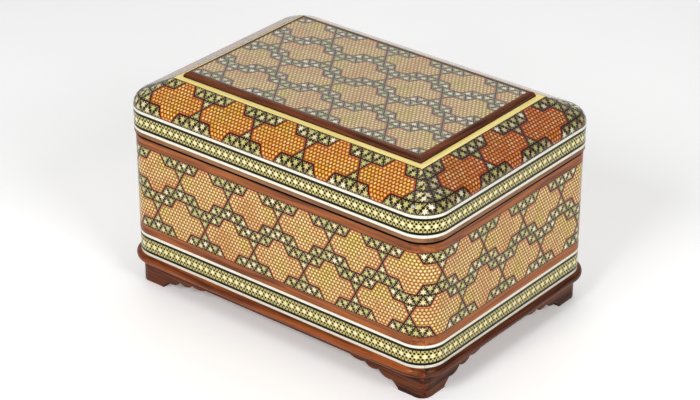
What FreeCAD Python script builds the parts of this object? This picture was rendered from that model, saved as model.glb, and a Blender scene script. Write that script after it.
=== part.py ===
import FreeCAD, Part
import math
import os
import re

import Sketcher

# A casket with a hinged, hipped lid, veneered all round with inlay sheets, wooden
# strips and thin bone and ebony lines, standing on a moulded plinth with bracket feet.
# Millimetres. +Z is up, +X runs along the long side, the front faces -Y and the hinges
# are at the back, +Y. The origin is the middle of the footprint, at the feet's soles.

SIZES = {
    # The case and its skin.
    "case_length": 210.0,
    "case_depth": 148.0,
    "corner_radius": 15.0,
    "veneer": 1.2,
    "wall": 6.8,
    "floor_board": 4.0,
    # The base: bracket feet joined by scalloped aprons, under a round-nosed moulding.
    "skirt_height": 14.4,
    "skirt_inset": 3.7,
    "skirt_thickness": 6.0,
    "skirt_corner": 6.0,
    "foot_length": 17.5,
    "ankle_run": 4.0,
    "ankle_upright": 1.0,
    "ankle_rise": 3.6,
    "lobe_one_run": 9.0,
    "lobe_one_rise": 3.1,
    "lobe_one_radius": 8.0,
    "lobe_two_run": 9.0,
    "lobe_two_rise": 1.0,
    "lobe_two_radius": 6.6,
    "lobe_three_run": 10.5,
    "lobe_three_rise": 0.7,
    "lobe_three_radius": 14.0,
    "moulding_height": 5.2,
    "moulding_reach": 2.6,
    "moulding_width": 14.6,
    "moulding_nose": 2.5,
    # Heights of the bands that go round the case and the lid.
    "bone_line": 1.65,
    "black_line": 1.1,
    "border": 8.1,
    "lower_strip": 5.2,
    "field": 49.5,
    "upper_strip": 5.0,
    "lid_gap": 1.5,
    "lid_edge": 2.4,
    "lid_border": 7.4,
    # The lid above its bands.
    "lid_overhang": 0.8,
    "slope_rise": 14.6,
    "slope_run": 19.8,
    "slope_pitch": 25.5,
    "hip_radius": 1.0,
    "strip_width": 3.8,
    "strip_height": 1.6,
    "strip_edge": 0.5,
    "seat_depth": 1.5,
    "nosing_width": 3.4,
    "nosing_radius": 2.4,
    "panel_rise": 3.0,
    # The lining.
    "lining_floor": 2.0,
    "lining_wall": 1.4,
    "lining_lip": 2.0,
    "lining_gap": 0.2,
    # The hinges.
    "hinge_spacing": 120.0,
    "hinge_length": 22.0,
    "hinge_middle": 7.6,
    "leaf_depth": 7.6,
    "leaf_thickness": 1.2,
    "leaf_gap": 0.15,
    "barrel_radius": 1.35,
    "pin_radius": 0.65,
    "pin_clearance": 0.05,
    "mortise_gap": 0.15,
    "barrel_gap": 0.3,
    "knuckle_gap": 0.3,
    "screw_spread": 14.0,
    "screw_setback": 4.7,
    "screw_length": 6.0,
    "screw_radius": 0.7,
    "screw_head_radius": 1.4,
    "screw_head_height": 0.6,
    "slot_width": 0.35,
    "slot_depth": 0.3,
}

# Each side of the casket is drawn along X with its face towards -Y, and then turned.
# A side's name gives its turn, and the sizes of the casket along and across it.
SIDES = {
    "front": (0, "case_length", "case_depth"),
    "right": (90, "case_depth", "case_length"),
    "back": (180, "case_length", "case_depth"),
    "left": (270, "case_depth", "case_length"),
}

RIM = "(skirt_height + moulding_height + 2*bone_line + 2*black_line + border + lower_strip + field + upper_strip)"
LID_BOTTOM = f"({RIM} + lid_gap)"
SLOPE_BOTTOM = f"({LID_BOTTOM} + lid_edge + 2*bone_line + 2*black_line + lid_border)"
SLOPE_TOP = f"({SLOPE_BOTTOM} + slope_rise)"
SEAT = f"({SLOPE_TOP} - seat_depth)"
PANEL_TOP = f"({SLOPE_TOP} + panel_rise)"
CASE_FLOOR = "(skirt_height + moulding_height)"
LINING_FLOOR = f"({CASE_FLOOR} + floor_board)"
HINGE_Y = "(case_depth/2 + moulding_reach - barrel_radius)"
HINGE_Z = f"({RIM} + lid_gap/2)"
MORTISE_DEPTH = "(leaf_gap + leaf_thickness - lid_gap/2)"

document = FreeCAD.newDocument("casket")
sheet = document.addObject("Spreadsheet::Sheet", "Sizes")
for row, (alias, size) in enumerate(SIZES.items(), start=1):
    sheet.set(f"A{row}", alias)
    sheet.set(f"B{row}", str(size))
    sheet.setAlias(f"B{row}", alias)
document.recompute()

pieces = {}


def formula(text):
    """Write a formula of size names as an expression on the sheet's cells."""
    return re.sub(r"\b(" + "|".join(SIZES) + r")\b", r"Sizes.\1", text)


def number(text):
    """The value of a formula of size names."""
    return float(sheet.evalExpression(formula(text)))


def keep(name, piece):
    """Name a finished piece, which also names its file."""
    piece.Label = name
    pieces[name] = piece
    return piece


# Sketches, bodies and features


def new_body(name, turn=0):
    body = document.addObject("PartDesign::Body", name)
    body.Placement = FreeCAD.Placement(
        FreeCAD.Vector(), FreeCAD.Rotation(FreeCAD.Vector(0, 0, 1), turn)
    )
    return keep(name, body)


def sketch_on(body, role, level=None):
    """A sketch on one of the body's own origin planes, raised to a level if one is given."""
    sketch = body.newObject("Sketcher::SketchObject", body.Name + "_sketch")
    plane = next(p for p in body.Origin.OriginFeatures if p.Role == role)
    sketch.AttachmentSupport = [(plane, "")]
    sketch.MapMode = "FlatFace"
    if level:
        sketch.setExpression("AttachmentOffset.Base.z", formula(level))
    return sketch


def dimension(sketch, label, constraint, text):
    """Add a dimension to a sketch and bind it to a formula."""
    index = sketch.addConstraint(constraint)
    sketch.renameConstraint(index, label)
    sketch.setExpression("Constraints." + label, formula(text))


def arc_between(start, end, radius):
    """The short arc from start to end, and whether it runs clockwise.

    It turns counter-clockwise for a positive radius and clockwise for a negative one.
    """
    chord = end - start
    height = math.sqrt(radius**2 - chord.Length**2 / 4)
    left = FreeCAD.Vector(-chord.y, chord.x, 0).normalize()
    centre = (start + end) / 2 + left * math.copysign(height, radius)
    clockwise = radius < 0
    first, last = (end, start) if clockwise else (start, end)
    angles = [math.atan2(p.y - centre.y, p.x - centre.x) for p in (first, last)]
    circle = Part.Circle(centre, FreeCAD.Vector(0, 0, 1), abs(radius))
    return Part.ArcOfCircle(circle, *angles), clockwise


def draw(sketch, corners):
    """Close a chain of lines and arcs through corners, each (x, y) or (x, y, radius).

    The coordinates and radii are formulas. A radius makes the edge that leaves its
    corner an arc, as in arc_between. Every corner and radius is a bound dimension.
    """
    first = sketch.GeometryCount
    points = [FreeCAD.Vector(number(c[0]), number(c[1]), 0) for c in corners]
    ends = []
    for index, corner in enumerate(corners):
        start, end = points[index], points[(index + 1) % len(points)]
        clockwise = False
        if len(corner) == 3:
            edge, clockwise = arc_between(start, end, number(corner[2]))
        else:
            edge = Part.LineSegment(start, end)
        sketch.addGeometry(edge, False)
        ends.append((2, 1) if clockwise else (1, 2))
    for index, corner in enumerate(corners):
        edge = first + index
        after = (index + 1) % len(corners)
        begin, finish = ends[index]
        sketch.addConstraint(
            Sketcher.Constraint("Coincident", edge, finish, first + after, ends[after][0])
        )
        for axis, text, place in zip("XY", corner, points[index]):
            constraint = Sketcher.Constraint("Distance" + axis, -1, 1, edge, begin, place)
            dimension(sketch, f"corner_{edge}_{axis.lower()}", constraint, text)
        if len(corner) == 3:
            constraint = Sketcher.Constraint("Radius", edge, abs(number(corner[2])))
            dimension(sketch, f"corner_{edge}_radius", constraint, corner[2].lstrip("-"))


def pad(body, sketch, height):
    feature = body.newObject("PartDesign::Pad", body.Name + "_pad")
    feature.Profile = (sketch, [""])
    feature.setExpression("Length", formula(height))
    sketch.Visibility = False
    document.recompute()
    return feature


def round_edges(body, base, names, radius):
    feature = body.newObject("PartDesign::Fillet", body.Name + "_round")
    feature.Base = (base, names)
    feature.setExpression("Radius", formula(radius))
    document.recompute()
    return feature


def cut_box(body, corner, extent):
    """Cut a box from a body, from its low corner and its extent, both formulas."""
    feature = body.newObject("PartDesign::SubtractiveBox", body.Name + "_cut")
    for name, text in zip(("Length", "Width", "Height"), extent):
        feature.setExpression(name, formula(text))
    for axis, text in zip("xyz", corner):
        feature.setExpression("Placement.Base." + axis, formula(text))
    before = body.Shape.Volume
    document.recompute()
    if body.Shape.Volume >= before:
        raise RuntimeError(f"nothing was cut from {body.Label}")


def cut_rod(body, start, radius, length, turn_about=None):
    """Cut a rod from a body, upwards from its start, or turned 90 degrees about an axis."""
    feature = body.newObject("PartDesign::SubtractiveCylinder", body.Name + "_rod")
    feature.setExpression("Radius", formula(radius))
    feature.setExpression("Height", formula(length))
    if turn_about:
        feature.Placement.Rotation = FreeCAD.Rotation(turn_about, 90)
    for axis, text in zip("xyz", start):
        feature.setExpression("Placement.Base." + axis, formula(text))
    before = body.Shape.Volume
    document.recompute()
    if body.Shape.Volume >= before:
        raise RuntimeError(f"nothing was drilled from {body.Label}")


# Outlines in plan


def round_corner(radius):
    """How far the middle of a round corner stays back from the square one, in X and in Y."""
    return f"({radius} * (1 - sqrt(0.5)))"


def round_bar(run, across, inset, thickness, radius, inner_radius=None):
    """A side's plan, mitred at 45 degrees, with round outer and square or round inner corners."""
    x, y = f"({run}/2 - {inset})", f"({across}/2 - {inset})"
    back = round_corner(radius)
    outline = [
        (f"-({x} - {back})", f"-({y} - {back})", radius),
        (f"-({x} - {radius})", f"-{y}"),
        (f"{x} - {radius}", f"-{y}", radius),
        (f"{x} - {back}", f"-({y} - {back})"),
    ]
    x, y = f"({x} - {thickness})", f"({y} - {thickness})"
    if inner_radius is None:
        return outline + [(x, f"-{y}"), (f"-{x}", f"-{y}")]
    back = round_corner(inner_radius)
    return outline + [
        (f"{x} - {back}", f"-({y} - {back})", f"-{inner_radius}"),
        (f"{x} - {inner_radius}", f"-{y}"),
        (f"-({x} - {inner_radius})", f"-{y}", f"-{inner_radius}"),
        (f"-({x} - {back})", f"-({y} - {back})"),
    ]


def square_bar(run, across, inset, thickness):
    """A side's plan, mitred at 45 degrees, with square corners."""
    x, y = f"({run}/2 - {inset})", f"({across}/2 - {inset})"
    return [
        (f"-{x}", f"-{y}"),
        (x, f"-{y}"),
        (f"{x} - {thickness}", f"-({y} - {thickness})"),
        (f"-({x} - {thickness})", f"-({y} - {thickness})"),
    ]


def round_rectangle(inset, radius):
    """The case's outline in plan, moved inwards."""
    x, y = f"(case_length/2 - {inset})", f"(case_depth/2 - {inset})"
    straight_x, straight_y = f"({x} - {radius})", f"({y} - {radius})"
    return [
        (f"-{straight_x}", f"-{y}"),
        (straight_x, f"-{y}", radius),
        (x, f"-{straight_y}"),
        (x, straight_y, radius),
        (straight_x, y),
        (f"-{straight_x}", y, radius),
        (f"-{x}", straight_y),
        (f"-{x}", f"-{straight_y}", radius),
    ]


def ring(name, inset, level, height):
    """A strip of the veneer's thickness, bent round all four sides."""
    body = new_body(name)
    sketch = sketch_on(body, "XY_Plane", level)
    draw(sketch, round_rectangle(inset, f"(corner_radius - {inset})"))
    inner = f"({inset} + veneer)"
    draw(sketch, round_rectangle(inner, f"(corner_radius - {inner})"))
    pad(body, sketch, height)
    return body


def bar(name, turn, outline, level, height):
    """One side's piece, from its outline in plan."""
    body = new_body(name, turn)
    sketch = sketch_on(body, "XY_Plane", level)
    draw(sketch, outline)
    return body, pad(body, sketch, height)


def stack(bands, inset, level):
    """Rings one above the other, from the bottom band up; returns the level on top."""
    for name, height in bands:
        if name:
            ring(name, inset, level, height)
        level = f"({level} + {height})"
    return level


# The base


def outer_edges(feature, side_face, radius, level):
    """Names of a bar's outer edges at one level: its face's edge and the round corners' edges."""
    names = []
    for index, edge in enumerate(feature.Shape.Edges, start=1):
        box = edge.BoundBox
        flat = box.ZLength < 1e-6 and abs(box.ZMin - level) < 1e-6
        middle = edge.valueAt((edge.FirstParameter + edge.LastParameter) / 2)
        if flat and middle.y < -side_face + 0.1 * radius:
            names.append(f"Edge{index}")
    return names


def plinth_moulding(side):
    """A round-nosed moulding under the case's wall, which the floor board also rests on."""
    turn, run, across = SIDES[side]
    radius = "(corner_radius + moulding_reach)"
    outline = round_bar(run, across, "(0 - moulding_reach)", "moulding_width", radius)
    body, base = bar(f"plinth_moulding_{side}", turn, outline, "skirt_height", "moulding_height")
    face = number(f"{across}/2 + moulding_reach")
    names = [
        name
        for level in ("skirt_height", "(skirt_height + moulding_height)")
        for name in outer_edges(base, face, number(radius), number(level))
    ]
    round_edges(body, base, names, "moulding_nose")


def apron_opening(half_run):
    """The space under a skirt board, between its feet: ankles, three lobes each side, apron."""
    steps = [
        ("ankle_run", "ankle_rise", None),
        ("lobe_one_run", "lobe_one_rise", "lobe_one_radius"),
        ("lobe_two_run", "lobe_two_rise", "lobe_two_radius"),
        ("lobe_three_run", "lobe_three_rise", "lobe_three_radius"),
    ]
    x, z = f"({half_run} - foot_length)", "ankle_upright"
    climb = [(x, "-1.0"), (x, z)]
    radii = [None, None]
    for run, rise, radius in steps:
        x, z = f"({x} - {run})", f"({z} + {rise})"
        climb.append((x, z))
        radii[-1:] = [radius, None]
    right = [
        (x, z, f"-{radius}") if radius else (x, z)
        for (x, z), radius in zip(climb, radii)
    ]
    mirrored = [(f"-{x}", z) for x, z in reversed(climb)]
    arcs = [None] + list(reversed(radii[:-1]))
    left = [
        (x, z, f"-{radius}") if radius else (x, z)
        for (x, z), radius in zip(mirrored, arcs[1:] + [None])
    ]
    return right + left


def skirt(side):
    """A skirt board with a bracket foot at each end."""
    turn, run, across = SIDES[side]
    outline = round_bar(run, across, "skirt_inset", "skirt_thickness", "skirt_corner")
    body, base = bar(f"skirt_{side}", turn, outline, None, "skirt_height")
    opening = sketch_on(body, "XZ_Plane")
    draw(opening, apron_opening(f"({run}/2 - skirt_inset)"))
    pocket = body.newObject("PartDesign::Pocket", body.Name + "_opening")
    pocket.Profile = (opening, [""])
    pocket.Type = "ThroughAll"
    pocket.Midplane = True
    document.recompute()
    if pocket.Shape.Volume >= base.Shape.Volume:
        raise RuntimeError(f"no opening was cut under {body.Label}")


for side in SIDES:
    plinth_moulding(side)
    skirt(side)


# The case


def mortises(body, faces_front, floor_level):
    """Cut the two hinge mortises into a piece at the back, from a level up."""
    depth, edge = "(leaf_depth + mortise_gap)", HINGE_Y
    low = f"-{edge}" if faces_front else f"({edge} - {depth})"
    for sign in ("-", "+"):
        x = f"({sign}1*hinge_spacing/2 - hinge_length/2 - mortise_gap)"
        extent = ("(hinge_length + 2*mortise_gap)", depth, f"({MORTISE_DEPTH} + lid_gap)")
        cut_box(body, (x, low, floor_level), extent)


def screw_pilots(body, level):
    """Drill the four pilot holes of the hinge screws into a piece that faces the back."""
    for sign in ("-", "+"):
        for side in ("-", "+"):
            x = f"({sign}1*hinge_spacing/2 {side} screw_spread/2)"
            start = (x, f"-({HINGE_Y} - screw_setback)", level)
            cut_rod(body, start, "(screw_radius + pin_clearance)", "screw_length")


case_floor_board = new_body("floor_board")
floor_sketch = sketch_on(case_floor_board, "XY_Plane", CASE_FLOOR)
inner_x, inner_y = "(case_length/2 - veneer - wall)", "(case_depth/2 - veneer - wall)"
draw(
    floor_sketch,
    [
        (f"-{inner_x}", f"-{inner_y}"),
        (inner_x, f"-{inner_y}"),
        (inner_x, inner_y),
        (f"-{inner_x}", inner_y),
    ],
)
pad(case_floor_board, floor_sketch, "floor_board")

for side, (turn, run, across) in SIDES.items():
    core = round_bar(run, across, "veneer", "wall", "(corner_radius - veneer)")
    body, _ = bar(f"{side}_wall", turn, core, CASE_FLOOR, f"({RIM} - {CASE_FLOOR})")
    if side == "back":
        mortises(body, True, f"({RIM} - {MORTISE_DEPTH})")
        screw_pilots(body, f"({HINGE_Z} - leaf_gap - screw_length - pin_clearance)")

field_level = stack(
    [
        ("base_lower_bone_line", "bone_line"),
        ("base_lower_ebony_line", "black_line"),
        ("base_border_inlay", "border"),
        ("base_upper_ebony_line", "black_line"),
        ("base_upper_bone_line", "bone_line"),
        ("case_lower_strip", "lower_strip"),
    ],
    "0.0",
    CASE_FLOOR,
)
for side, (turn, run, across) in SIDES.items():
    skin = round_bar(
        run, across, "0.0", "veneer", "corner_radius", "(corner_radius - veneer)"
    )
    bar(f"{side}_inlay", turn, skin, field_level, "field")
rim_strip = ring("case_rim_strip", "0.0", f"({field_level} + field)", "upper_strip")
mortises(rim_strip, False, f"({RIM} - {MORTISE_DEPTH})")

# The lining of the case: velvet over card, a pad on the floor and a panel on each wall.
# The panels stand above the rim as a lip that the lid closes over.

lining_inset = "(veneer + wall + lining_gap)"
lining_pad = new_body("lining_floor_pad")
pad_sketch = sketch_on(lining_pad, "XY_Plane", LINING_FLOOR)
pad_x = f"(case_length/2 - {lining_inset})"
pad_y = f"(case_depth/2 - {lining_inset})"
draw(
    pad_sketch,
    [(f"-{pad_x}", f"-{pad_y}"), (pad_x, f"-{pad_y}"), (pad_x, pad_y), (f"-{pad_x}", pad_y)],
)
pad(lining_pad, pad_sketch, "lining_floor")
wall_level = f"({LINING_FLOOR} + lining_floor)"
for side, (turn, run, across) in SIDES.items():
    panel = square_bar(run, across, lining_inset, "lining_wall")
    height = f"({RIM} + lining_lip - {wall_level})"
    bar(f"lining_{side}", turn, panel, wall_level, height)

# The lid's frame and the bands round it

rail_height = f"({SLOPE_BOTTOM} - {LID_BOTTOM})"
for side, (turn, run, across) in SIDES.items():
    core = round_bar(
        run,
        across,
        "(veneer - lid_overhang)",
        "wall",
        "(corner_radius + lid_overhang - veneer)",
    )
    body, _ = bar(f"lid_rail_{side}", turn, core, LID_BOTTOM, rail_height)
    if side == "back":
        mortises(body, True, f"({LID_BOTTOM} - lid_gap)")
        screw_pilots(body, f"({HINGE_Z} + leaf_gap + pin_clearance)")

lid_edge_strip = ring("lid_edge_strip", "(0 - lid_overhang)", LID_BOTTOM, "lid_edge")
mortises(lid_edge_strip, False, f"({LID_BOTTOM} - lid_gap)")
for sign in ("-", "+"):
    corner = (
        f"({sign}1*hinge_spacing/2 - hinge_length/2 - mortise_gap)",
        HINGE_Y,
        HINGE_Z,
    )
    room = ("(barrel_radius + barrel_gap)", "(hinge_length + 2*mortise_gap)")
    cut_rod(lid_edge_strip, corner, *room, FreeCAD.Vector(0, 1, 0))
stack(
    [
        (None, "lid_edge"),
        ("lid_lower_bone_line", "bone_line"),
        ("lid_lower_ebony_line", "black_line"),
        ("lid_border_inlay", "lid_border"),
        ("lid_upper_ebony_line", "black_line"),
        ("lid_upper_bone_line", "bone_line"),
    ],
    "(0 - lid_overhang)",
    LID_BOTTOM,
)

# The lid's slopes: a round bend up from the lid's sides, then a straight run at the
# slope's pitch, drawn round a plan whose round corners tighten into hips on the way up.

BEND_STEPS = 6


def slope_places(inset, rise):
    """Places up a slope to that rise, each as its distance in from the foot and its height.

    The inset moves the whole slope inwards, square to its surface.
    """
    pitch = math.radians(number("slope_pitch"))
    run = number("slope_run + lid_overhang")
    above = number("slope_rise") - run * math.tan(pitch)
    bend = above / (math.cos(pitch) - (1 - math.sin(pitch)) * math.tan(pitch)) - inset
    places = []
    for step in range(BEND_STEPS + 1):
        angle = (math.pi / 2 - pitch) * step / BEND_STEPS
        places.append((bend * (1 - math.cos(angle)), bend * math.sin(angle)))
    inward, height = places[-1]
    places.append((inward + (rise - height) / math.tan(pitch), rise))
    return places


def hipped_block(inset, rise):
    """The solid under the slopes, with its foot moved inwards by inset and of a given rise."""
    foot_radius = number("corner_radius + lid_overhang") - inset
    foot_x = number("case_length/2 + lid_overhang") - inset
    foot_y = number("case_depth/2 + lid_overhang") - inset
    places = slope_places(inset, rise)
    run = places[-1][0]
    sections = []
    for inward, height in places:
        radius = foot_radius + (number("hip_radius") - foot_radius) * inward / run
        level = number(SLOPE_BOTTOM) + height
        sections.append(round_wire(foot_x - inward, foot_y - inward, radius, level))
    bend = Part.makeLoft(sections[:-1], True, False)
    straight = Part.makeLoft(sections[-2:], True, True)
    return bend.fuse(straight)


def round_wire(x, y, radius, z):
    """A rectangle in plan, of half sizes x and y, with round corners."""
    edges = []
    corners = [(1, -1, -90), (1, 1, 0), (-1, 1, 90), (-1, -1, 180)]
    ends = []
    for sign_x, sign_y, angle in corners:
        centre = FreeCAD.Vector(sign_x * (x - radius), sign_y * (y - radius), z)
        arc = Part.makeCircle(radius, centre, FreeCAD.Vector(0, 0, 1), angle, angle + 90)
        ends.append(arc)
    for arc, after in zip(ends, ends[1:] + ends[:1]):
        start = arc.valueAt(arc.LastParameter)
        end = after.valueAt(after.FirstParameter)
        edges += [arc, Part.makeLine(start, end)]
    return Part.Wire(edges)


def side_wedge(side):
    """The part of space nearest to one side, between the mitre planes at its two corners."""
    turn, run, across = SIDES[side]
    margin = 20.0
    x = number(f"{run}/2") + margin
    y = number(f"{across}/2") + margin
    reach = min(x, y)
    corners = [(-x, -y), (x, -y), (x - reach, -y + reach), (-x + reach, -y + reach)]
    if x - reach < 1e-6:
        corners.pop()
    points = [FreeCAD.Vector(px, py, 0) for px, py in corners]
    prism = Part.Face(Part.makePolygon(points + points[:1])).extrude(
        FreeCAD.Vector(0, 0, number(PANEL_TOP))
    )
    prism.rotate(FreeCAD.Vector(), FreeCAD.Vector(0, 0, 1), turn)
    return prism


def shaped(name, shape):
    """A piece whose shape is worked out from the sheet's values."""
    piece = document.addObject("Part::Feature", name)
    piece.Shape = shape
    piece.Placement = FreeCAD.Placement()
    return keep(name, piece)


lid_core = hipped_block(number("veneer"), number("slope_rise - seat_depth"))
shaped("lid_core_board", lid_core)
seat_x = number("case_length/2 - slope_run")
seat_y = number("case_depth/2 - slope_run")
seat = Part.makeBox(
    2 * seat_x,
    2 * seat_y,
    number("seat_depth + panel_rise"),
    FreeCAD.Vector(-seat_x, -seat_y, number(SEAT)),
)
slope_skin = hipped_block(0.0, number("slope_rise")).cut([lid_core, seat])
for side in SIDES:
    piece = slope_skin.common(side_wedge(side))
    shaped(f"lid_slope_inlay_{side}", max(piece.Solids, key=lambda solid: solid.Volume))

# On the seat: a pale strip, then a raised panel with a round-nosed frame.

for side, (turn, run, across) in SIDES.items():
    half = number(f"{across}/2")
    strip = square_bar(run, across, "slope_run", "strip_width")
    body, base = bar(f"lid_strip_{side}", turn, strip, SEAT, "strip_height")
    top = number(f"{SEAT} + strip_height")
    names = outer_edges(base, half - number("slope_run"), 1.0, top)
    round_edges(body, base, names, "strip_edge")

    frame_inset = "(slope_run + strip_width)"
    nosing = square_bar(run, across, frame_inset, "nosing_width")
    body, base = bar(
        f"panel_moulding_{side}", turn, nosing, SEAT, "(seat_depth + panel_rise)"
    )
    names = outer_edges(base, half - number(frame_inset), 1.0, number(PANEL_TOP))
    round_edges(body, base, names, "nosing_radius")


def panel_layer(name, level, height):
    body = new_body(name)
    sketch = sketch_on(body, "XY_Plane", level)
    inset = "(slope_run + strip_width + nosing_width)"
    x, y = f"(case_length/2 - {inset})", f"(case_depth/2 - {inset})"
    draw(sketch, [(f"-{x}", f"-{y}"), (x, f"-{y}"), (x, y), (f"-{x}", y)])
    pad(body, sketch, height)


panel_layer("panel_board", SEAT, "(seat_depth + panel_rise - veneer)")
panel_layer("panel_inlay", f"({PANEL_TOP} - veneer)", "veneer")

lid_lining = new_body("lid_lining_pad")
lid_pad_sketch = sketch_on(lid_lining, "XY_Plane", f"({SLOPE_BOTTOM} - lining_wall)")
lid_x = f"(case_length/2 + lid_overhang - {lining_inset})"
lid_y = f"(case_depth/2 + lid_overhang - {lining_inset})"
draw(
    lid_pad_sketch,
    [(f"-{lid_x}", f"-{lid_y}"), (lid_x, f"-{lid_y}"), (lid_x, lid_y), (f"-{lid_x}", lid_y)],
)
pad(lid_lining, lid_pad_sketch, "lining_wall")

# The hinges: let into the rim, with their barrels behind the case.


def box_at(centre_x, low_y, low_z, width, depth, height):
    corner = FreeCAD.Vector(centre_x - width / 2, low_y, low_z)
    return Part.makeBox(width, depth, height, corner)


def rod(centre_x, length, radius):
    """A rod along the hinges' axis."""
    start = FreeCAD.Vector(centre_x - length / 2, number(HINGE_Y), number(HINGE_Z))
    return Part.makeCylinder(radius, length, start, FreeCAD.Vector(1, 0, 0))


def screw(x, up):
    """A countersunk screw through a leaf: its head, its shank, and the slot in the head."""
    y = number(f"{HINGE_Y} - screw_setback")
    face = number("leaf_gap") if up else -number("leaf_gap")
    z = number(HINGE_Z) + face
    direction = FreeCAD.Vector(0, 0, 1 if up else -1)
    start = FreeCAD.Vector(x, y, z)
    head_height = number("screw_head_height")
    head = Part.makeCone(
        number("screw_head_radius"), number("screw_radius"), head_height, start, direction
    )
    shank = Part.makeCylinder(
        number("screw_radius"), number("screw_length"), start, direction
    )
    slot_width = number("slot_width")
    slot = Part.makeBox(
        2 * number("screw_head_radius"),
        slot_width,
        2 * number("slot_depth"),
        start - FreeCAD.Vector(number("screw_head_radius"), slot_width / 2, number("slot_depth")),
    )
    return head.fuse(shank).removeSplitter().cut(slot)


def screw_hole(x, up):
    """The countersunk hole for a screw, a clearance larger all round."""
    gap = number("pin_clearance")
    y = number(f"{HINGE_Y} - screw_setback")
    sign = 1 if up else -1
    direction = FreeCAD.Vector(0, 0, sign)
    start = FreeCAD.Vector(x, y, number(HINGE_Z) + sign * number("leaf_gap"))
    thickness = number("leaf_thickness")
    sink = Part.makeCone(
        number("screw_head_radius") + gap,
        number("screw_radius") + gap,
        number("screw_head_height"),
        start,
        direction,
    )
    through = Part.makeCylinder(number("screw_radius") + gap, thickness, start, direction)
    return sink.fuse(through)


def hinge_leaf(centre_x, up):
    """A leaf with its knuckles: the lid's has the middle one, the case's the outer two."""
    length = number("hinge_length")
    middle = number("hinge_middle")
    gap = number("knuckle_gap")
    thickness = number("leaf_thickness")
    axis_y, axis_z = number(HINGE_Y), number(HINGE_Z)
    back = axis_y - number("leaf_depth")
    z = axis_z + number("leaf_gap") if up else axis_z - number("leaf_gap") - thickness
    plate = box_at(centre_x, back, z, length, axis_y - back, thickness)
    barrel = rod(centre_x, length, number("barrel_radius"))
    space = number("barrel_radius") + gap
    if up:
        outer = (length - middle) / 2 + 1
        starts = [centre_x - length / 2 - 1, centre_x + middle / 2]
        clear = [(start + outer / 2, outer) for start in starts]
    else:
        clear = [(centre_x, middle + 2 * gap)]
    leaf = plate.fuse(barrel)
    for x, width in clear:
        leaf = leaf.cut(box_at(x, axis_y - space, axis_z - space, width, 2 * space, 2 * space))
    leaf = leaf.cut(rod(centre_x, length + 2, number("pin_radius + pin_clearance")))
    for side in (-1, 1):
        x = centre_x + side * number("screw_spread/2")
        leaf = leaf.cut(screw_hole(x, up))
    return leaf.removeSplitter()


hinge_centres = (-number("hinge_spacing/2"), number("hinge_spacing/2"))
screw_places = [
    centre + side * number("screw_spread/2") for centre in hinge_centres for side in (-1, 1)
]
for leaf_name, screw_name, up in (
    ("hinge_case_leaves", "hinge_case_screws", False),
    ("hinge_lid_leaves", "hinge_lid_screws", True),
):
    shaped(leaf_name, Part.makeCompound([hinge_leaf(x, up) for x in hinge_centres]))
    shaped(screw_name, Part.makeCompound([screw(x, up) for x in screw_places]))
pins = [rod(x, number("hinge_length"), number("pin_radius")) for x in hinge_centres]
shaped("hinge_pins", Part.makeCompound(pins))

# Check every object and every piece, and write each piece to its own file.

document.recompute()
for item in document.Objects:
    failed = {"Invalid", "Error"} & set(item.State)
    if failed:
        raise RuntimeError(f"{item.Label}: {sorted(failed)}")
for name, piece in pieces.items():
    if piece.Shape.isNull() or not piece.Shape.isValid():
        raise RuntimeError(f"{name} has no valid shape")

os.makedirs("parts", exist_ok=True)
for name, piece in pieces.items():
    piece.Shape.exportStep(f"parts/{name}.step")
    size = piece.Shape.BoundBox
    print(
        f"{name}: {len(piece.Shape.Solids)} solid(s), {piece.Shape.Volume:.0f} mm3, "
        f"{size.XLength:.1f} x {size.YLength:.1f} x {size.ZLength:.1f} mm, "
        f"z {size.ZMin:.2f} to {size.ZMax:.2f}"
    )
print(f"{len(pieces)} pieces")
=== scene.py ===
import math

import bmesh
import bpy
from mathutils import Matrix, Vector


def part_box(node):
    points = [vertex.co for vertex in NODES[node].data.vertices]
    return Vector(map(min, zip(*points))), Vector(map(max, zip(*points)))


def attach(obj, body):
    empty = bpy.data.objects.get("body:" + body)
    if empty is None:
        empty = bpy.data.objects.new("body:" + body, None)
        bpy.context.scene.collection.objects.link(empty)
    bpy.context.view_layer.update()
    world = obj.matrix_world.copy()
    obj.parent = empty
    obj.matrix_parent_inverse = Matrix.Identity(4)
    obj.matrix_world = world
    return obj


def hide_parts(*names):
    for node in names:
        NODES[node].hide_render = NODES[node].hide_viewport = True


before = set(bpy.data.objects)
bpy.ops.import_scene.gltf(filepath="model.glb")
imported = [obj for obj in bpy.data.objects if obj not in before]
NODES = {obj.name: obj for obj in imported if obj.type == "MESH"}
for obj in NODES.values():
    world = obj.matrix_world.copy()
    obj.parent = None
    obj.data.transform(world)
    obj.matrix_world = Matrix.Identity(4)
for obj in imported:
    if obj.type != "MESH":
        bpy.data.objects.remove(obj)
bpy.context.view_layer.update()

# The looks of the casket: inlay sheets and borders, bone and ebony lines, woods, velvet
# and brass. Lengths in this file are millimetres until they reach Blender, in metres.

MM = 0.001


def box_mm(node):
    """A node's lowest and highest corners, in millimetres."""
    low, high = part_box(node)
    return low / MM, high / MM


# The surfaces that the inlay patterns follow.

CASE_LOW, CASE_HIGH = box_mm("case_rim_strip")
LID_LOW, LID_HIGH = box_mm("lid_edge_strip")
CASE_HALF = (CASE_HIGH.x, CASE_HIGH.y)
LID_HALF = (LID_HIGH.x, LID_HIGH.y)
CASE_RADIUS = 15.0  # of the case's upright corners
LID_RADIUS = CASE_RADIUS + LID_HALF[0] - CASE_HALF[0]
FIELD_LOW, FIELD_HIGH = box_mm("front_inlay")
SLOPE_LOW, SLOPE_HIGH = box_mm("lid_slope_inlay_front")
SLOPE_RISE = SLOPE_HIGH.z - SLOPE_LOW.z
STRIP_HIGH = box_mm("lid_strip_front")[1]
STRIP_TOP = STRIP_HIGH.z

# A slope rises in a round bend from upright, and then runs straight at its pitch. Its
# corner radius shrinks from the lid's at the foot to the hip's at the top.

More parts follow.
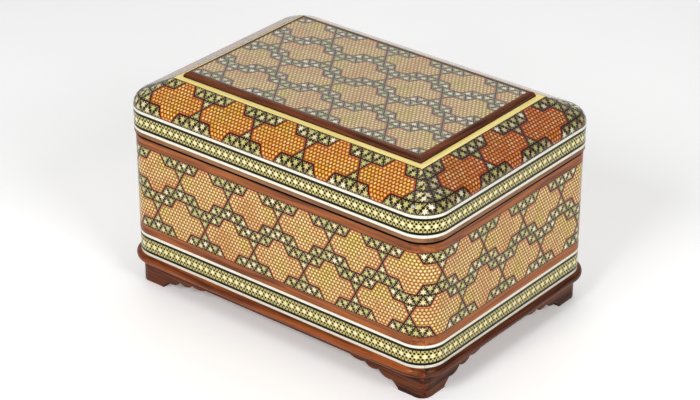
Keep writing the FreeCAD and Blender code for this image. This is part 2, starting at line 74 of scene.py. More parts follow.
SLOPE_RUN = LID_HIGH.x - STRIP_HIGH.x
SLOPE_PITCH = math.radians(25.5)
SLOPE_TURN = math.pi / 2 - SLOPE_PITCH
BEND_RADIUS = (SLOPE_RISE - SLOPE_RUN * math.tan(SLOPE_PITCH)) / (
    math.cos(SLOPE_PITCH) - (1 - math.sin(SLOPE_PITCH)) * math.tan(SLOPE_PITCH)
)
BEND_RISE = BEND_RADIUS * math.sin(SLOPE_TURN)
SLOPE_LENGTH = BEND_RADIUS * SLOPE_TURN + (SLOPE_RISE - BEND_RISE) / math.sin(SLOPE_PITCH)
HIP_RADIUS = 1.0

# The patterns' own sizes. A crossing is where two rows of triangles meet.

LOZENGE_SIDES = 5  # lozenges repeat after this many triangle sides
DOTS_IN_LOZENGE = 16  # dots between one lozenge and the next
CASE_REPEAT, CASE_CROSSING, CASE_ROWS = 35.1, 9.2, 2
SLOPE_REPEAT, SLOPE_CROSSING = 36.0, 18.0
SLOPE_PATTERN_HALF = {True: 90.0, False: 54.0}  # half of the long and the short slopes' rows
TOP_REPEAT, TOP_CROSSING, TOP_ROWS, TOP_ROW_SHIFT = 37.3, -46.0, 4, 18.7
BORDER_STARS = 158  # in the whole way round
BONE_LENGTH = 61.0  # between the joints of the bone lines


# Numbers that vary over a surface


class Value:
    """A number in one material's node tree, with the usual arithmetic."""

    def __init__(self, tree, source):
        self.tree = tree
        self.source = source

    def node(self, operation, *inputs, clamp=False):
        made = self.tree.nodes.new("ShaderNodeMath")
        made.operation = operation
        made.use_clamp = clamp
        for socket, value in zip(made.inputs, (self, *inputs)):
            feed(self.tree, socket, value)
        return Value(self.tree, made.outputs[0])

    def __add__(self, other):
        return self.node("ADD", other)

    __radd__ = __add__

    def __sub__(self, other):
        return self.node("SUBTRACT", other)

    def __rsub__(self, other):
        return (self * -1.0) + other

    def __mul__(self, other):
        return self.node("MULTIPLY", other)

    __rmul__ = __mul__

    def __truediv__(self, other):
        return self.node("DIVIDE", other)

    def __lt__(self, other):
        return self.node("LESS_THAN", other)

    def __gt__(self, other):
        return self.node("GREATER_THAN", other)

    def abs(self):
        return self.node("ABSOLUTE")

    def sign(self):
        return self.node("SIGN")

    def floor(self):
        return self.node("FLOOR")

    def fract(self):
        return self.node("FRACT")

    def sqrt(self):
        return self.node("SQRT")

    def cos(self):
        return self.node("COSINE")

    def asin(self):
        return self.node("ARCSINE")

    def angle(self, other):
        """The angle of the point (other, self)."""
        return self.node("ARCTAN2", other)

    def low(self, other):
        return self.node("MINIMUM", other)

    def high(self, other):
        return self.node("MAXIMUM", other)

    def between(self, least, most):
        return self.high(least).low(most)

    def ramp(self, start, end):
        """0 up to start, 1 from end on, and straight between them."""
        return ((self - start) / (end - start)).node("ADD", 0.0, clamp=True)

    def to_nearest(self):
        """How far the number is from the nearest whole one."""
        return ((self + 0.5).fract() - 0.5).abs()

    def choose(self, one, zero):
        """One where this is 1, and zero where it is 0."""
        return self * one + (1.0 - self) * zero


def feed(tree, socket, value):
    if isinstance(value, Value):
        tree.links.new(value.source, socket)
    else:
        socket.default_value = value


def length(x, y):
    return (x * x + y * y).sqrt()


def linear(rgb):
    """An sRGB colour, 0 to 255, as a linear one."""
    shares = [channel / 255 for channel in rgb]
    return [s / 12.92 if s <= 0.04045 else ((s + 0.055) / 1.055) ** 2.4 for s in shares] + [1.0]


class Paint:
    """A colour that varies over a surface."""

    def __init__(self, tree, source):
        self.tree = tree
        self.source = source

    def mixed(self, colour, share, blend):
        mix = self.tree.nodes.new("ShaderNodeMix")
        mix.data_type = "RGBA"
        mix.blend_type = blend
        feed(self.tree, mix.inputs["Factor"], share)
        feed_colour(self.tree, mix.inputs[6], self.source)
        target = colour.source if isinstance(colour, Paint) else linear(colour)
        feed_colour(self.tree, mix.inputs[7], target)
        return Paint(self.tree, mix.outputs[2])

    def over(self, colour, share):
        """Lay a colour over this one, where share is 1."""
        return self.mixed(colour, share, "MIX")

    def tint(self, colour, share):
        """Multiply this colour by another, where share is 1."""
        return self.mixed(colour, share, "MULTIPLY")


def feed_colour(tree, socket, source):
    if isinstance(source, bpy.types.NodeSocket):
        tree.links.new(source, socket)
    else:
        socket.default_value = source


class Surface:
    """A material under way: its node tree, and places on the object in millimetres."""

    def __init__(self, name):
        self.material = bpy.data.materials.new(name)
        self.material.use_nodes = True
        self.tree = self.material.node_tree
        self.shader = self.tree.nodes["Principled BSDF"]
        coordinates = self.tree.nodes.new("ShaderNodeTexCoord")
        separate = self.tree.nodes.new("ShaderNodeSeparateXYZ")
        self.tree.links.new(coordinates.outputs["Object"], separate.inputs[0])
        self.x, self.y, self.z = (Value(self.tree, out) * 1000.0 for out in separate.outputs)

    def paint(self, colour):
        return Paint(self.tree, linear(colour))

    def vector(self, x, y, z):
        combine = self.tree.nodes.new("ShaderNodeCombineXYZ")
        for socket, value in zip(combine.inputs, (x, y, z)):
            feed(self.tree, socket, value)
        return combine.outputs[0]

    def noise(self, vector, scale=1.0, detail=2.0, roughness=0.5, distortion=0.0):
        noise = self.tree.nodes.new("ShaderNodeTexNoise")
        self.tree.links.new(vector, noise.inputs["Vector"])
        noise.inputs["Scale"].default_value = scale
        noise.inputs["Detail"].default_value = detail
        noise.inputs["Roughness"].default_value = roughness
        noise.inputs["Distortion"].default_value = distortion
        return Value(self.tree, noise.outputs[0])

    def random(self, x, y, z=0.0):
        """A fixed random number from 0 to 1 for each whole x, y and z."""
        white = self.tree.nodes.new("ShaderNodeTexWhiteNoise")
        white.noise_dimensions = "3D"
        self.tree.links.new(self.vector(x, y, z), white.inputs["Vector"])
        return Value(self.tree, white.outputs["Value"])

    def finish(self, paint, roughness=0.4, **settings):
        self.tree.links.new(paint.source, self.shader.inputs["Base Color"])
        feed(self.tree, self.shader.inputs["Roughness"], roughness)
        for name, value in settings.items():
            self.shader.inputs[name.replace("_", " ")].default_value = value
        return self.material

    def bump(self, height, distance, strength=1.0):
        """Raise the surface by height times distance, in millimetres."""
        bump = self.tree.nodes.new("ShaderNodeBump")
        feed(self.tree, bump.inputs["Height"], height)
        bump.inputs["Distance"].default_value = distance * MM
        bump.inputs["Strength"].default_value = strength
        self.tree.links.new(bump.outputs[0], self.shader.inputs["Normal"])


# Places along the sides


def around(surface, half, radius):
    """Distance round the casket, from the middle of the front right corner.

    It grows from the front to the right side, bends round the corners of that radius,
    and is the same again after half a turn.
    """
    straight_x, straight_y = half[0] - radius, half[1] - radius
    beyond_x = (surface.x.abs() - straight_x).high(0.0)
    beyond_y = (surface.y.abs() - straight_y).high(0.0)
    on_long = beyond_y > beyond_x
    turn_long = surface.y.sign() * -1.0
    x = surface.x * turn_long
    along_x = x.between(-straight_x, straight_x) + x.sign() * beyond_x.angle(beyond_y) * radius
    y = surface.y * surface.x.sign()
    along_y = y.between(-straight_y, straight_y) + y.sign() * beyond_y.angle(beyond_x) * radius
    corner = math.pi * radius / 4
    front = along_x - (straight_x + corner)
    right = along_y + (straight_y + corner)
    return on_long.choose(front, right), on_long


# The inlay

SQRT3 = math.sqrt(3.0)
ROW = 2 * SQRT3


class Inlay:
    """The colours of one inlay sheet."""

    def __init__(self, ground, dot, outline, band, star, leaf, line, dark):
        self.ground = ground
        self.dot = dot
        self.outline = outline
        self.band = band
        self.star = star
        self.leaf = leaf
        self.line = line
        self.dark = dark


CASE_INLAY = Inlay(
    ground=(170, 114, 60),
    dot=(246, 220, 148),
    outline=(58, 16, 8),
    band=(206, 104, 74),
    star=(226, 204, 142),
    leaf=(170, 142, 84),
    line=(9, 6, 3),
    dark=(72, 38, 14),
)
LONG_SLOPE_INLAY = Inlay(
    ground=(168, 86, 16),
    dot=(246, 196, 84),
    outline=(62, 8, 4),
    band=(184, 64, 24),
    star=(212, 192, 126),
    leaf=(138, 118, 64),
    line=(8, 6, 3),
    dark=(70, 26, 6),
)
SHORT_SLOPE_INLAY = Inlay(
    ground=(134, 56, 12),
    dot=(222, 138, 52),
    outline=(52, 6, 4),
    band=(146, 34, 20),
    star=(170, 146, 98),
    leaf=(100, 82, 46),
    line=(8, 6, 3),
    dark=(66, 20, 8),
)
TOP_INLAY = Inlay(
    ground=(168, 128, 76),
    dot=(228, 206, 150),
    outline=(78, 40, 30),
    band=(178, 116, 88),
    star=(200, 188, 150),
    leaf=(146, 132, 98),
    line=(40, 34, 26),
    dark=(104, 66, 36),
)


def hexagon_dots(surface, x, y, pitch):
    """How far a point is from the nearest dot of a lattice, in pitches, and the dot's number."""
    height = pitch * SQRT3 / 2
    row = (y / height + 0.5).floor()
    odd = (row * 0.5).fract() * 2.0
    column = x / pitch - odd * 0.5
    across = column.to_nearest()
    up = (y / height - row) * (SQRT3 / 2)
    number = surface.random((column + 0.5).floor(), row, 3.0)
    return length(across, up), number


def lozenge_depth(x, y):
    """How deep a point is inside a lozenge of four hexagons, from x 0 to 5, with sides of 1."""
    half = LOZENGE_SIDES / 2
    x = half - (x - half).abs()
    y = y.abs()
    tip = ((x * SQRT3 - y) / 2.0).low(SQRT3 / 2 - y)
    middle = (((x - 1.0) * SQRT3 - y) / 2.0).low(SQRT3 - y)
    return tip.high(middle)


def star_sheet(surface, x, y, millimetres, colours, inside=None):
    """Rows of lozenges filled with dots, among triangles with stars.

    x and y are in sides of a triangle, from a crossing. A side has that many millimetres.
    """
    repeat = (x / LOZENGE_SIDES).fract() * LOZENGE_SIDES
    depth = lozenge_depth(repeat, y) * millimetres
    if inside is not None:
        depth = inside.choose(depth, -9.0)
    fine = millimetres * LOZENGE_SIDES / DOTS_IN_LOZENGE
    spread, number = hexagon_dots(surface, x * millimetres, y * millimetres, fine)
    patch = surface.noise(surface.vector(x * 0.3, y * 0.3, 0.0), 1.0, 1.0)

    field = surface.paint(colours.ground)
    field = field.over(colours.dark, spread.ramp(0.49, 0.555) * 0.9)
    dot = surface.paint(colours.dot).over((255, 244, 196), number.ramp(0.6, 1.0) * 0.35)
    dot = dot.over(colours.ground, (1.0 - number).ramp(0.75, 1.0) * 0.35)
    field = field.over(dot, 1.0 - spread.ramp(0.25, 0.36))
    field = field.over(colours.band, (1.0 - depth.ramp(0.7, 1.3)) * 0.7)
    field = field.tint((232, 255, 170), patch.ramp(0.5, 0.64) * 0.5)
    field = field.tint((236, 196, 164), (1.0 - patch).ramp(0.5, 0.66) * 0.5)

    stars = triangles(surface, x, y, millimetres, colours)
    sheet = stars.over(field, depth > 0.0)
    return sheet.over(colours.outline, 1.0 - depth.abs().ramp(0.36, 0.56))


def triangles(surface, x, y, millimetres, colours):
    """A lattice of triangles of side 1, each with a six-pointed star between dark lozenges."""
    rows = [y * (2 / SQRT3), x - y / SQRT3, x + y / SQRT3]
    parts = [row.fract() for row in rows]
    upright = (parts[0] + parts[1]) < 1.0
    edges = [
        upright.choose(parts[0], 1.0 - parts[0]),
        upright.choose(parts[1], 1.0 - parts[1]),
        upright.choose(1.0 - parts[2], parts[2]),
    ]
    height = millimetres * SQRT3 / 2
    near = edges[0].low(edges[1]).low(edges[2]) * height
    far = edges[0].high(edges[1]).high(edges[2]) * height
    reach = 0.27 * millimetres
    middle = height / 3
    inner = near - (middle - reach / 2)
    outer = (middle + reach / 2) - far
    star = inner.high(outer)
    notch = star.abs().ramp(0.02, 0.10) * (star < 0.0)
    notch = notch * (inner.low(outer) > -0.78)
    chance = surface.random(rows[0].floor(), rows[1].floor(), upright)
    other = surface.random(rows[1].floor(), rows[0].floor() + 7.0, upright)
    sheet = surface.paint(colours.leaf).over(colours.star, chance.ramp(0.1, 0.9) * 0.75)
    cream = surface.paint(colours.star).over((170, 184, 104), other.ramp(0.5, 0.8) * 0.55)
    cream = cream.over((244, 240, 212), (1.0 - other).ramp(0.7, 0.95) * 0.6)
    sheet = sheet.over(cream, star > 0.0)
    sheet = sheet.over(colours.line, notch * 0.92)
    bead, _ = hexagon_dots(surface, x, y, 1 / 6)
    beads = (1.0 - bead.ramp(0.26, 0.42)) * (star < 0.2) * (near < 0.95).choose(0.95, 0.5)
    sheet = sheet.over(colours.line, beads)
    return sheet.over(colours.line, 1.0 - near.ramp(0.3, 0.5))


def case_sheet():
    surface = Surface("inlay_case")
    distance, _ = around(surface, CASE_HALF, CASE_RADIUS)
    side = CASE_REPEAT / LOZENGE_SIDES
    rows = (surface.z - FIELD_LOW.z) * (CASE_ROWS / (FIELD_HIGH.z - FIELD_LOW.z))
    row = rows.floor().between(0.0, CASE_ROWS - 1)
    x = (distance - CASE_CROSSING) / side + (1.0 - row) * (LOZENGE_SIDES / 2)
    y = ((rows - row) - 0.5) * ROW
    paint = star_sheet(surface, x, y, side, CASE_INLAY)
    return lacquer(surface, paint)


def slope_sheet(name, long_side, colours):
    """The sheet on a slope of the lid: its pattern follows the round bend and the straight run."""
    surface = Surface(name)
    rise = (surface.z - SLOPE_LOW.z).between(0.0, SLOPE_RISE)
    tilt = (rise / BEND_RADIUS).between(0.0, math.sin(SLOPE_TURN)).asin()
    past_bend = (rise - BEND_RISE).high(0.0)
    inward = (1.0 - tilt.cos()) * BEND_RADIUS + past_bend / math.tan(SLOPE_PITCH)
    climbed = tilt * BEND_RADIUS + past_bend / math.sin(SLOPE_PITCH)
    gone = inward / SLOPE_RUN
    radius = gone * (HIP_RADIUS - LID_RADIUS) + LID_RADIUS
    drawn_in = gone * (SLOPE_RUN - LID_RADIUS + HIP_RADIUS)
    centre_x = (LID_HALF[0] - LID_RADIUS) - drawn_in
    centre_y = (LID_HALF[1] - LID_RADIUS) - drawn_in
    along, across = (surface.x, surface.y) if long_side else (surface.y, surface.x)
    straight, other = (centre_x, centre_y) if long_side else (centre_y, centre_x)
    beyond = (along.abs() - straight).high(0.0)
    depth = (across.abs() - other).high(0.001)
    reach = (along.abs().low(straight) + beyond.angle(depth) * radius) * along.sign()
    side = SLOPE_REPEAT / LOZENGE_SIDES
    x = (reach - SLOPE_CROSSING) / side
    y = (climbed / SLOPE_LENGTH - 0.5) * ROW
    inside = reach.abs() < SLOPE_PATTERN_HALF[long_side]
    paint = star_sheet(surface, x, y, side, colours, inside)
    return lacquer(surface, paint, coat=0.8, ior=1.5)


def top_sheet():
    surface = Surface("inlay_top")
    low, high = box_mm("panel_inlay")
    side = TOP_REPEAT / LOZENGE_SIDES
    rows = (high.y - surface.y) * (TOP_ROWS / (high.y - low.y))
    row = rows.floor().between(0.0, TOP_ROWS - 1)
    odd = (row * 0.5).fract() * 2.0
    x = (surface.x - TOP_CROSSING + odd * TOP_ROW_SHIFT) / side
    y = (0.5 - (rows - row)) * ROW
    paint = star_sheet(surface, x, y, side, TOP_INLAY)
    return lacquer(surface, paint, coat=1.0, ior=1.6)


def border_sheet(name, node, half, radius):
    """A border: a row of six-pointed stars with a black dot in each notch."""
    surface = Surface(name)
    low, high = box_mm(node)
    distance, _ = around(surface, half, radius)
    perimeter = 4 * (half[0] + half[1]) - 8 * radius + 2 * math.pi * radius
    pitch = perimeter / BORDER_STARS
    middle = (low.z + high.z) / 2
    tall = high.z - low.z
    x = distance / pitch
    y = surface.z - middle
    across = x.to_nearest() * pitch
    dot_row = 0.215 * tall
    rows = [
        length((x + 0.5).to_nearest() * pitch, y),
        length(((x - 0.25) * 2.0).to_nearest() * (pitch / 2), y.abs() - dot_row),
        length(across, y.abs() - 0.36 * tall) + 0.2,
    ]
    dot = 1.0 - rows[0].low(rows[1]).low(rows[2]).ramp(0.6, 0.78)
    beyond_dots = y.abs().ramp(dot_row * 1.15, dot_row * 1.35)
    bar = (1.0 - ((x + 0.5).to_nearest() * pitch).ramp(0.24, 0.42)) * beyond_dots
    star = 1.0 - length(across, y).ramp(1.1, 1.7)
    chance = surface.random((x + 0.5).floor(), 1.0, 1.0)
    patch = surface.noise(surface.vector(x * 0.7, y * 0.4, 5.0), 1.0, 1.0)
    paint = surface.paint((204, 188, 116)).over((160, 158, 80), patch.ramp(0.5, 0.7) * 0.7)
    paint = paint.over((244, 232, 182), star * 0.9)
    paint = paint.over((214, 216, 128), chance.ramp(0.6, 0.9) * 0.5 * star)
    paint = paint.over((8, 7, 3), dot.high(bar))
    edge = (y.abs() - tall / 2).abs()
    paint = paint.over((8, 7, 5), 1.0 - edge.ramp(0.35, 0.6))
    return lacquer(surface, paint)


def lacquer(surface, paint, roughness=0.35, coat=0.6, coat_roughness=0.05, ior=1.35):
    """Clear varnish over the paint, slightly uneven."""
    wave = surface.noise(surface.vector(surface.x, surface.y, surface.z), 0.06, 2.0)
    surface.bump(wave, 0.25, 0.5)
    return surface.finish(
        paint,
        roughness,
        Coat_Weight=coat,
        Coat_Roughness=coat_roughness,
        Coat_IOR=ior,
        Specular_IOR_Level=0.05,
    )


# Woods, bone, ebony, velvet and brass

# Painted shade: a near-black laid where seams and grooves would be in shadow.
PAINTED_SHADE_COLOUR = (10, 6, 4)


def wood(name, light, dark, pore, half, radius, grain=1.0, glossy=True, rim=None):
    """Wood whose grain runs along the sides and round the corners.

    Where a rim's height is given, its top is painted near-black: painted shade for the seam under
    a lid.
    """
    surface = Surface(name)
    distance, on_long = around(surface, half, radius)
    depth = on_long.choose(surface.y, surface.x)
    figure = surface.noise(
        surface.vector(distance * 0.018, surface.z * 0.33 * grain, depth * 0.33 * grain),
        1.0, 4.0, 0.6, 0.6,
    )
    streak = surface.noise(
        surface.vector(distance * 0.05, surface.z * 2.2 * grain, depth * 2.2 * grain),
        1.0, 5.0, 0.65,
    )
    pores = surface.noise(
        surface.vector(distance * 0.35, surface.z * 6.0 * grain, depth * 6.0 * grain),
        1.0, 2.0, 0.5,
    )
    # painted shade: the top 0.35 mm below the rim is painted near-black, so the seam under the lid
    # looks shadowed
    painted_shade = 0.0 if rim is None else surface.z.ramp(rim - 0.35, rim - 0.1)
    return wooden(surface, figure, streak, pores, (light, dark, pore), glossy, painted_shade)


def wooden(surface, figure, streak, pores, colours, glossy, painted_shade=0.0):
    light, dark, pore = colours
    paint = surface.paint(light).over(dark, figure.ramp(0.38, 0.64))
    paint = paint.over(dark, streak.ramp(0.5, 0.72) * 0.6)
    paint = paint.over(light, (1.0 - streak).ramp(0.56, 0.72) * 0.45)
    paint = paint.over(pore, pores.ramp(0.6, 0.72) * 0.6)
    # painted shade where it is given, in seams and grooves
    paint = paint.over(PAINTED_SHADE_COLOUR, painted_shade)
    if glossy:
        surface.bump(pores, 0.08, 0.4)
        return surface.finish(
            paint, 0.4, Coat_Weight=0.3, Coat_Roughness=0.1, Coat_IOR=1.35, Specular_IOR_Level=0.05
        )
    surface.bump(pores, 0.15, 0.6)
    return surface.finish(paint, 0.62)


def straight_wood(name, light, dark, pore, along_x, grain=1.0, glossy=True, foot=None):
    """Wood whose grain runs straight, along X or along Y.

    Where a foot's height is given, the wood is painted dark there: painted shade, as in a groove.
    """
    surface = Surface(name)
    along, across = (surface.x, surface.y) if along_x else (surface.y, surface.x)
    figure = surface.noise(
        surface.vector(along * 0.015, across * 0.3 * grain, surface.z * 0.3 * grain),
        1.0, 4.0, 0.6, 0.7,
    )
    streak = surface.noise(
        surface.vector(along * 0.04, across * 2.0 * grain, surface.z * 2.0 * grain),
        1.0, 5.0, 0.65,
    )
    pores = surface.noise(
        surface.vector(along * 0.3, across * 6.0 * grain, surface.z * 6.0 * grain),
        1.0, 2.0, 0.5,
    )
    # painted shade: near-black up to 0.4–0.9 mm above the foot, for the shadow line in the groove
    painted_shade = 0.0 if foot is None else 1.0 - surface.z.ramp(foot + 0.4, foot + 0.9)
    return wooden(surface, figure, streak, pores, (light, dark, pore), glossy, painted_shade)


def bone(name, half, radius):
    surface = Surface(name)
    distance, _ = around(surface, half, radius)
    grain = surface.noise(surface.vector(distance * 0.25, surface.z * 3.0, 0.0), 1.0, 3.0)
    cloud = surface.noise(surface.vector(distance * 0.03, surface.z * 0.2, 1.0), 1.0, 2.0)
    paint = surface.paint((238, 232, 214)).over((220, 208, 178), grain.ramp(0.5, 0.75) * 0.6)
    paint = paint.over((240, 236, 224), cloud.ramp(0.5, 0.7) * 0.6)
    joint = (distance / BONE_LENGTH).to_nearest() * BONE_LENGTH
    paint = paint.over((150, 128, 92), (1.0 - joint.ramp(0.05, 0.2)) * 0.6)
    return lacquer(surface, paint, 0.3)


def ebony(name, half, radius):
    surface = Surface(name)
    distance, _ = around(surface, half, radius)
    grain = surface.noise(surface.vector(distance * 0.1, surface.z * 5.0, 0.0), 1.0, 4.0)
    paint = surface.paint((7, 6, 4)).over((26, 20, 13), grain.ramp(0.5, 0.8))
    return lacquer(surface, paint, 0.3)


def velvet(name):
    surface = Surface(name)
    spot = surface.vector(surface.x, surface.y, surface.z)
    pile = surface.noise(spot, 4.0, 3.0, 0.6)
    brushed = surface.noise(spot, 0.035, 3.0, 0.6, 0.8)
    paint = surface.paint((104, 16, 26)).over((62, 6, 14), brushed.ramp(0.42, 0.62) * 0.8)
    paint = paint.over((140, 34, 44), pile.ramp(0.55, 0.75) * 0.35)
    surface.bump(pile, 0.35, 0.8)
    surface.shader.inputs["Sheen Tint"].default_value = linear((230, 120, 130))
    return surface.finish(paint, 0.9, Sheen_Weight=0.7, Sheen_Roughness=0.4)


def brass(name):
    surface = Surface(name)
    spot = surface.vector(surface.x * 0.2, surface.y * 2.0, surface.z * 2.0)
    rub = surface.noise(spot, 1.0, 4.0, 0.6)
    cloud = surface.noise(surface.vector(surface.x, surface.y, surface.z), 0.25, 3.0)
    paint = surface.paint((222, 178, 96)).over((172, 124, 58), cloud.ramp(0.45, 0.7) * 0.6)
    surface.bump(rub, 0.03, 0.5)
    return surface.finish(paint, rub * 0.22 + 0.16, Metallic=1.0)


def dress(material, *names):
    """Give a material to CAD nodes."""
    for name in names:
        mesh = NODES[name].data
        mesh.materials.clear()
        mesh.materials.append(material)


# The lining: velvet drawn over card with a thin wadding


PAD_STATION = 8.0  # between stations in the middle of a pad
ROLL_WIDTH = 2.2  # of a pad's rolled edge, in thicknesses of the pad
SQUARE_EDGE = 0.6  # how thick an edge starts, as a share of the pad's thickness
MITRED_EDGE = 0.03


def stations(low, high):
    """Places along a pad: close together where its edges roll over, and wide apart between."""
    rolls = [0.0, 0.25, 0.6, 1.1, 1.8, 2.6, 3.6, 5.0, 7.0]
    first, last = low + rolls[-1], high - rolls[-1]
    count = max(2, round((last - first) / PAD_STATION))
    between = [first + (last - first) * step / count for step in range(1, count)]
    return [low + roll for roll in rolls] + between + [high - roll for roll in reversed(rolls)]


def velvet_pad(name, node, body, up, material, mitred=False):
    """A crowned pad in a node's box. Its soft face looks along up, and its back is flat.

    The ends of a mitred pad start thin, so that they clear the pad round the corner.
    """
    low, high = box_mm(node)
    thin = next(axis for axis in range(3) if up[axis])
    wide, tall = [axis for axis in range(3) if axis != thin]
    thickness = high[thin] - low[thin]
    back = low[thin] if up[thin] > 0 else high[thin]
    columns, rows = stations(low[wide], high[wide]), stations(low[tall], high[tall])

    def roll(edge, start):
        way = min(edge / (ROLL_WIDTH * thickness), 1.0)
        return start + (1 - start) * math.sin(way * math.pi / 2)

    def height(across, along):
        ends = min(across - low[wide], high[wide] - across)
        sides = min(along - low[tall], high[tall] - along)
        share = min(roll(ends, MITRED_EDGE if mitred else SQUARE_EDGE), roll(sides, SQUARE_EDGE))
        u = (across - low[wide]) / (high[wide] - low[wide])
        v = (along - low[tall]) / (high[tall] - low[tall])
        crown = math.sin(math.pi * u) * math.sin(math.pi * v)
        ripple = math.sin(across * 0.21 + along * 0.13) * math.sin(along * 0.17 - across * 0.05)
        return thickness * share * (0.8 + 0.14 * crown + 0.04 * ripple)

    def point(across, along, thick):
        spot = [0.0, 0.0, 0.0]
        spot[wide], spot[tall], spot[thin] = across, along, back + up[thin] * thick
        return [part * MM for part in spot]

    count = len(columns)
    vertices = [point(a, b, height(a, b)) for b in rows for a in columns]
    faces = [
        (k, k + 1, k + 1 + count, k + count)
        for k in range(len(vertices) - count)
        if k % count < count - 1
    ]
    soft_faces = len(faces)
    last = count * (len(rows) - 1)
    rim = list(range(count))
    rim += [count * row + count - 1 for row in range(1, len(rows) - 1)]
    rim += list(range(last + count - 1, last - 1, -1))
    rim += [count * row for row in range(len(rows) - 2, 0, -1)]
    first = len(vertices)
    vertices += [point(columns[k % count], rows[k // count], 0.0) for k in rim]
    for step, vertex in enumerate(rim):
        after = (step + 1) % len(rim)
        faces.append((rim[after], vertex, first + step, first + after))
    faces.append(tuple(range(len(vertices) - 1, first - 1, -1)))
    mesh = bpy.data.meshes.new(name)
    mesh.from_pydata(vertices, [], faces)
    shape = bmesh.new()
    shape.from_mesh(mesh)
    bmesh.ops.recalc_face_normals(shape, faces=shape.faces)
    shape.to_mesh(mesh)
    shape.free()
    for number, polygon in enumerate(mesh.polygons):
        polygon.use_smooth = number < soft_faces
    mesh.materials.append(material)
    piece = bpy.data.objects.new(name, mesh)
    bpy.context.scene.collection.objects.link(piece)
    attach(piece, body)
    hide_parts(node)


def line_with_velvet():
    """Line the case's walls and floor and the lid."""
    material = velvet("velvet")
    inward = {"front": (0, 1, 0), "right": (-1, 0, 0), "back": (0, -1, 0), "left": (1, 0, 0)}
    for side, up in inward.items():
        velvet_pad(f"velvet_{side}", f"lining_{side}", "box_body", up, material, mitred=True)
    velvet_pad("velvet_floor", "lining_floor_pad", "box_body", (0, 0, 1), material)
    velvet_pad("velvet_lid", "lid_lining_pad", "lid", (0, 0, -1), material)


# The CAD pieces and their materials

SIDES = ("front", "right", "back", "left")


def each(pattern):
    """The names of a piece that has one on each side."""
    return [pattern.format(side) for side in SIDES]


case_ring = (CASE_HALF, CASE_RADIUS)
lid_ring = (LID_HALF, LID_RADIUS)

dress(case_sheet(), *each("{}_inlay"))
dress(
    slope_sheet("inlay_long_slope", True, LONG_SLOPE_INLAY),
    "lid_slope_inlay_front",
    "lid_slope_inlay_back",
)
dress(
    slope_sheet("inlay_short_slope", False, SHORT_SLOPE_INLAY),
    "lid_slope_inlay_right",
    "lid_slope_inlay_left",
)
dress(top_sheet(), "panel_inlay")
dress(border_sheet("inlay_case_border", "base_border_inlay", *case_ring), "base_border_inlay")
dress(border_sheet("inlay_lid_border", "lid_border_inlay", *lid_ring), "lid_border_inlay")
dress(bone("bone_case", *case_ring), "base_lower_bone_line", "base_upper_bone_line")
dress(bone("bone_lid", *lid_ring), "lid_lower_bone_line", "lid_upper_bone_line")
dress(ebony("ebony_case", *case_ring), "base_lower_ebony_line", "base_upper_ebony_line")
dress(ebony("ebony_lid", *lid_ring), "lid_lower_ebony_line", "lid_upper_ebony_line")
# The case rim's top gets painted shade, for the dark seam under the lid.
dress(
    wood("wood_strips", (178, 104, 54), (106, 56, 36), (66, 28, 18), *case_ring, rim=CASE_HIGH.z),
    "case_lower_strip",
    "case_rim_strip",
)
dress(
    wood("wood_lid_edge", (156, 110, 76), (104, 68, 46), (60, 34, 22), *lid_ring),
    "lid_edge_strip",
)
orange = ((160, 84, 40), (76, 34, 16), (36, 14, 8))
dark = ((112, 58, 32), (44, 20, 11), (16, 7, 4))
dress(wood("wood_long_moulding", *orange, *case_ring), "plinth_moulding_front")
dress(wood("wood_moulding", *dark, *case_ring), *each("plinth_moulding_{}")[1:])
dress(wood("wood_skirt", *dark, *case_ring), *each("skirt_{}"))
nosing = ((122, 66, 40), (60, 30, 18), (26, 12, 8))
# The panel mouldings get painted shade along their foot, as a shadow line above the pale strip.
dress(
    straight_wood("wood_panel_long", *nosing, True, foot=STRIP_TOP),
    "panel_moulding_front",
    "panel_moulding_back",
)
dress(
    straight_wood("wood_panel_short", *nosing, False, foot=STRIP_TOP),
    "panel_moulding_right",
    "panel_moulding_left",
)
pale = ((255, 238, 158), (240, 214, 128), (188, 156, 88))
dress(straight_wood("wood_pale_long", *pale, True), "lid_strip_front", "lid_strip_back")
dress(straight_wood("wood_pale_short", *pale, False), "lid_strip_right", "lid_strip_left")
plain = ((170, 116, 70), (136, 86, 48), (92, 54, 28))
# The walls' tops get the same painted shade, for the seam under the lid.
dress(wood("wood_case", *plain, *case_ring, 0.8, False, CASE_HIGH.z), *each("{}_wall"))
dress(wood("wood_lid_rail", *plain, *lid_ring, 0.8, False), *each("lid_rail_{}"))
dress(
    straight_wood("wood_boards", *plain, True, 0.5, False),
    "floor_board",
    "lid_core_board",
    "panel_board",
)
line_with_velvet()
dress(
    brass("brass"),
    "hinge_case_leaves",
    "hinge_lid_leaves",
    "hinge_case_screws",
    "hinge_lid_screws",
    "hinge_pins",
)


# The floor, the lights and the camera, in metres and degrees


FLOOR_HALF = 6.0
FLOOR_GLOW = 0.2


def add_floor():
    mesh = bpy.data.meshes.new("floor")
    half = FLOOR_HALF
    corners = [(-half, -half, 0), (half, -half, 0), (half, half, 0), (-half, half, 0)]
    mesh.from_pydata(corners, [], [(0, 1, 2, 3)])
    floor = bpy.data.objects.new("floor", mesh)
    bpy.context.scene.collection.objects.link(floor)
    surface = Surface("floor")
    shade = surface.noise(surface.vector(surface.x, surface.y, 0.0), 0.004, 2.0)
    paint = surface.paint((250, 250, 250)).over((246, 246, 246), shade.ramp(0.4, 0.6))
    surface.shader.inputs["Emission Strength"].default_value = FLOOR_GLOW
    mesh.materials.append(surface.finish(paint, 0.55, Emission_Color=(1.0, 1.0, 1.0, 1.0)))


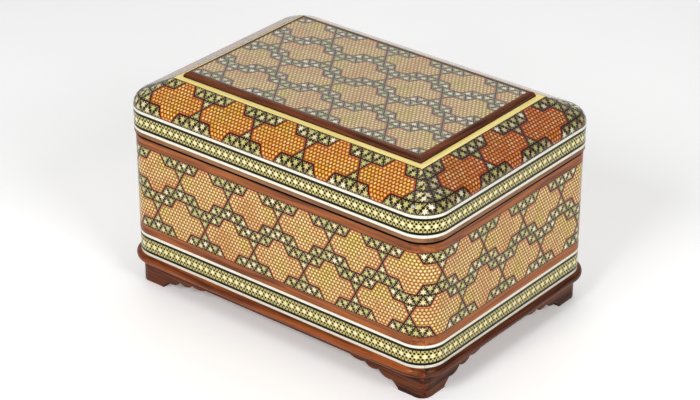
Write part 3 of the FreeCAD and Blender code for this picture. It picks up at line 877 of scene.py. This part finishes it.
def add_softbox(name, azimuth, elevation, distance, size, watts):
    """A square softbox aimed at the casket. Azimuth 0 is in front and 90 at the right."""
    light = bpy.data.lights.new(name, "AREA")
    light.shape = "RECTANGLE"
    light.size, light.size_y = size
    light.energy = watts
    softbox = bpy.data.objects.new(name, light)
    bpy.context.scene.collection.objects.link(softbox)
    target = Vector((0.0, 0.0, 0.06))
    away = direction(azimuth, elevation)
    softbox.location = target + away * distance
    softbox.rotation_euler = away.to_track_quat("Z", "Y").to_euler()


def direction(azimuth, elevation):
    turn, lift = math.radians(azimuth), math.radians(elevation)
    return Vector(
        (math.sin(turn) * math.cos(lift), -math.cos(turn) * math.cos(lift), math.sin(lift))
    )


BRIGHT_SIDE = (219, 28)


def add_world():
    """A pale studio, brighter behind the casket than in front of it."""
    world = bpy.data.worlds.new("studio")
    world.use_nodes = True
    tree = world.node_tree
    background = tree.nodes["Background"]
    coordinates = tree.nodes.new("ShaderNodeTexCoord")
    facing = tree.nodes.new("ShaderNodeVectorMath")
    facing.operation = "DOT_PRODUCT"
    facing.inputs[1].default_value = direction(*BRIGHT_SIDE)
    tree.links.new(coordinates.outputs["Generated"], facing.inputs[0])
    toward = Value(tree, facing.outputs["Value"])
    shade = toward.ramp(-0.2, 0.7) * 0.2 + toward.ramp(0.7, 0.97) * 0.4 + 0.18
    tree.links.new(shade.source, background.inputs["Strength"])
    background.inputs["Color"].default_value = (1.0, 1.0, 1.0, 1.0)
    bpy.context.scene.world = world


CAMERA_AZIMUTH, CAMERA_ELEVATION, CAMERA_DISTANCE = 39.12, 28.35, 1.2844
CAMERA_TARGET = Vector((-0.0056, 0.0, 0.053))


def add_camera():
    camera = bpy.data.cameras.new("camera")
    camera.lens = 119.0
    camera.sensor_width = 36.0
    camera.sensor_fit = "HORIZONTAL"
    camera.clip_end = 50.0
    view = bpy.data.objects.new("camera", camera)
    bpy.context.scene.collection.objects.link(view)
    away = direction(CAMERA_AZIMUTH, CAMERA_ELEVATION)
    view.location = CAMERA_TARGET + away * CAMERA_DISTANCE
    view.rotation_euler = away.to_track_quat("Z", "Y").to_euler()
    bpy.context.scene.camera = view


add_floor()
add_world()
add_camera()
add_softbox("left_light", 6, 36, 1.4, (0.46, 0.46), 9.3)
add_softbox("right_light", 72, 34, 1.4, (0.46, 0.46), 7.0)
add_softbox("top_light", 200, 80, 1.3, (1.2, 1.2), 2.4)

bpy.context.scene.view_settings.view_transform = "Standard"
